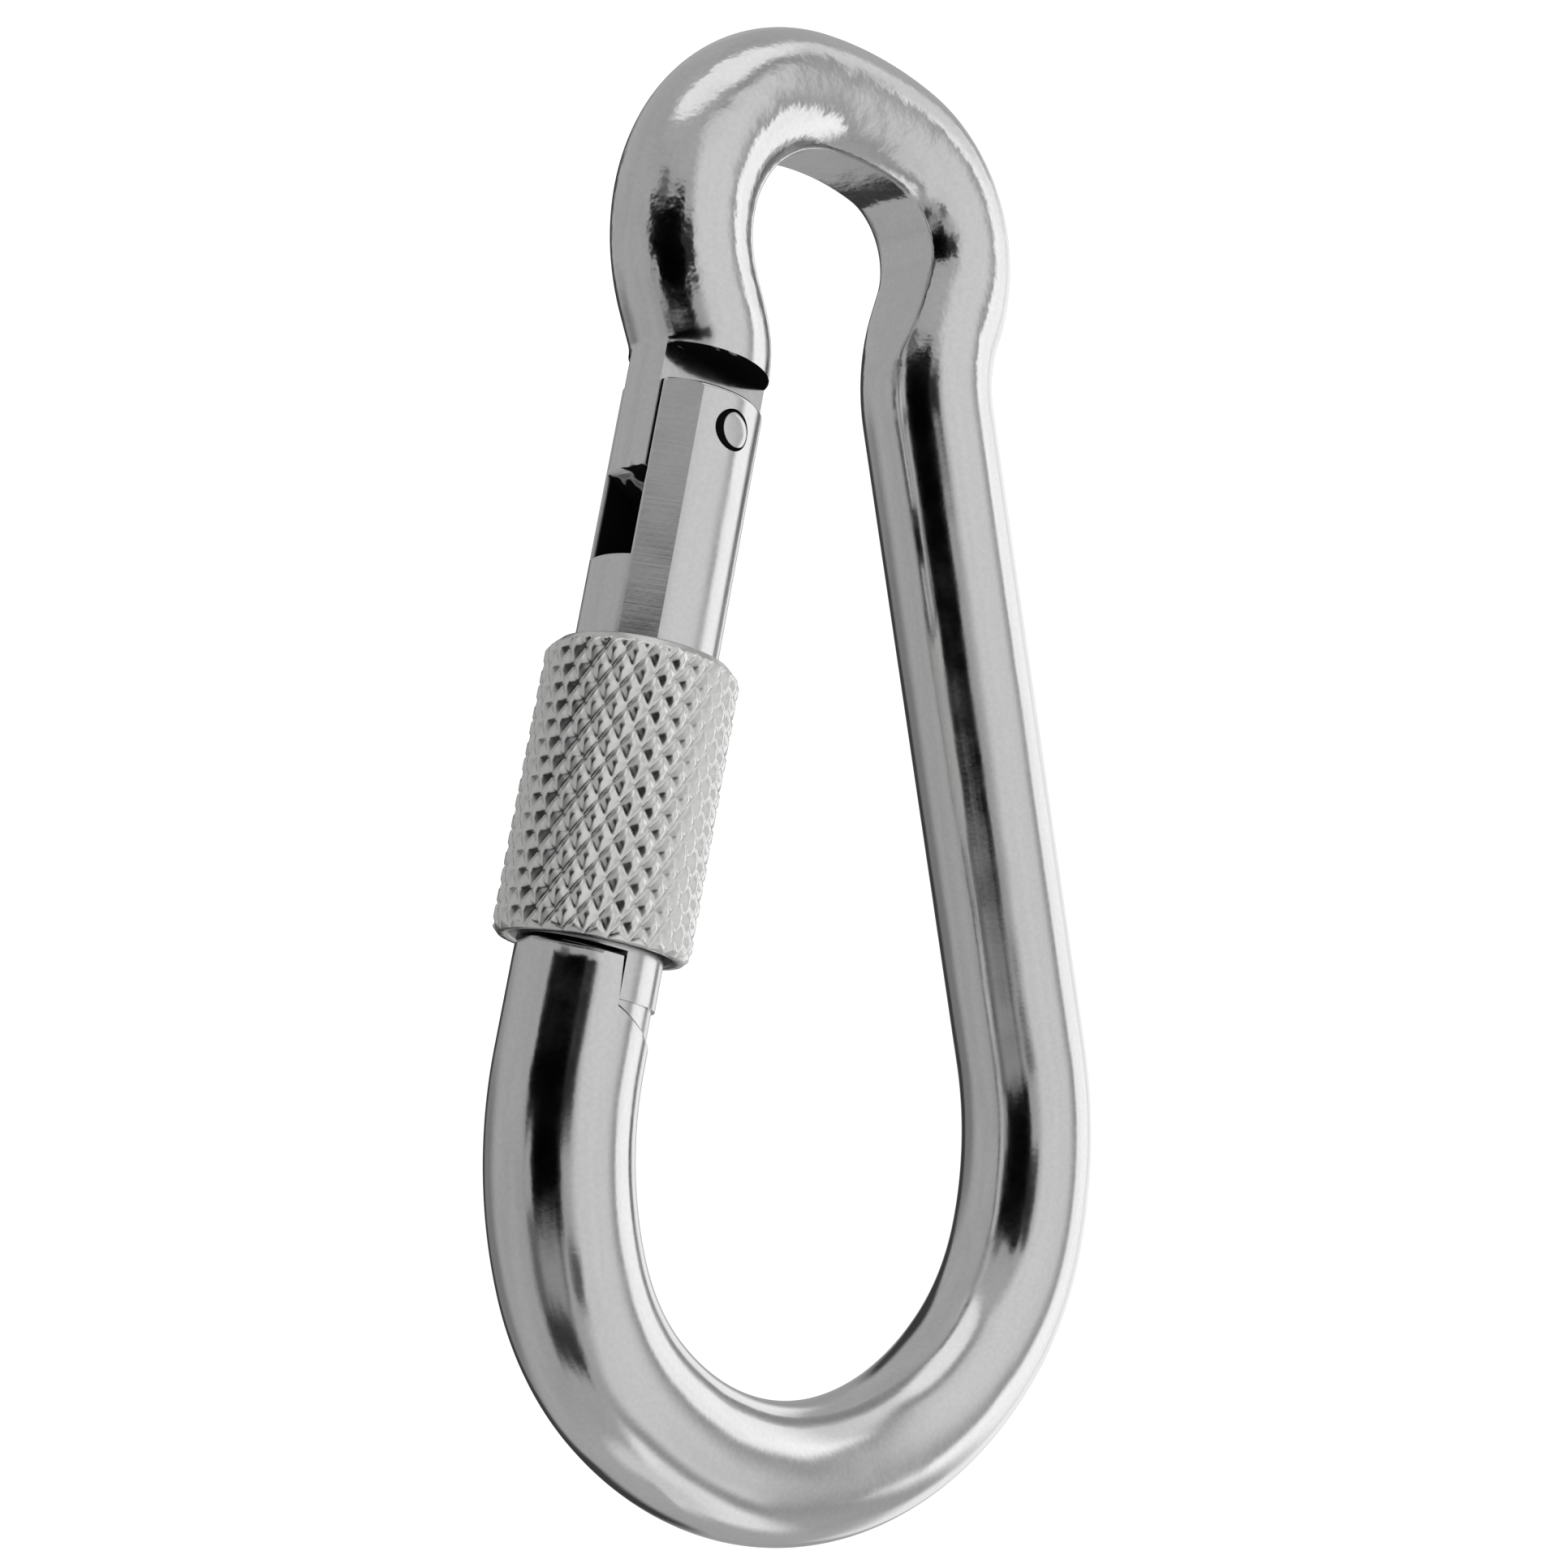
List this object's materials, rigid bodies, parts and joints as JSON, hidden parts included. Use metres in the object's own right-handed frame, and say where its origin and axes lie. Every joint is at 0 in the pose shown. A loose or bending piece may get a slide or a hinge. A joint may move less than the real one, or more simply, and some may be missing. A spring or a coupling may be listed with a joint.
{
  "type": "locking carabiner",
  "caption": "Pear-shaped steel snap hook bent from round bar, with a sprung hinged gate, a flush lap latch and a knurled screw nut that locks the gate.",
  "frame": {"origin": "seat at the top of the head bow, on the middle of the hook, where a load hangs", "axes": "+Z along the length towards the head bow, +X across the hook from the gate to the closed spine, +Y along the thickness, away from the side the rivet head is seen on"},
  "size_m": [0.0614, 0.0148, 0.1198],
  "materials": {
    "plated_bar": "bright zinc plate, polished",
    "plated_gate": "bright zinc plate, milled flats",
    "rivet_steel": "plated, flattened ends",
    "spring_steel": "bare spring steel, oiled",
    "knurled_nut": "diamond knurl, matt zinc plate"
  },
  "bodies": {
    "hook": {"hook_body": "plated_bar"},
    "gate": {"gate": "plated_gate", "hinge_rivet": "rivet_steel", "gate_spring": "spring_steel"},
    "plunger": {"spring_plunger": "spring_steel"},
    "nut": {"locking_nut": "knurled_nut"}
  },
  "joints": [
    {"name": "gate_hinge", "type": "hinge", "parent": "hook", "child": "gate", "pos_m": [-0.01405, 0, -0.02484], "axis": [0, -1, 0], "range_deg": [0, 26], "stiffness_Nm_per_rad": 0.1, "springref_deg": -85.94},
    {"name": "plunger_slide", "type": "slide", "parent": "gate", "child": "plunger", "axis": [-0.2164, 0, -0.9763], "range_m": [0, 0.00085], "deforming": ["gate_spring"]},
    {"name": "nut_travel", "type": "slide", "parent": "gate", "child": "nut", "axis": [-0.2164, 0, -0.9763], "range_m": [0, 0.006]}
  ],
  "couplings": [
    {"joint": "plunger_slide", "follows": "gate_hinge", "m_per_rad": 0.0018}
  ]
}
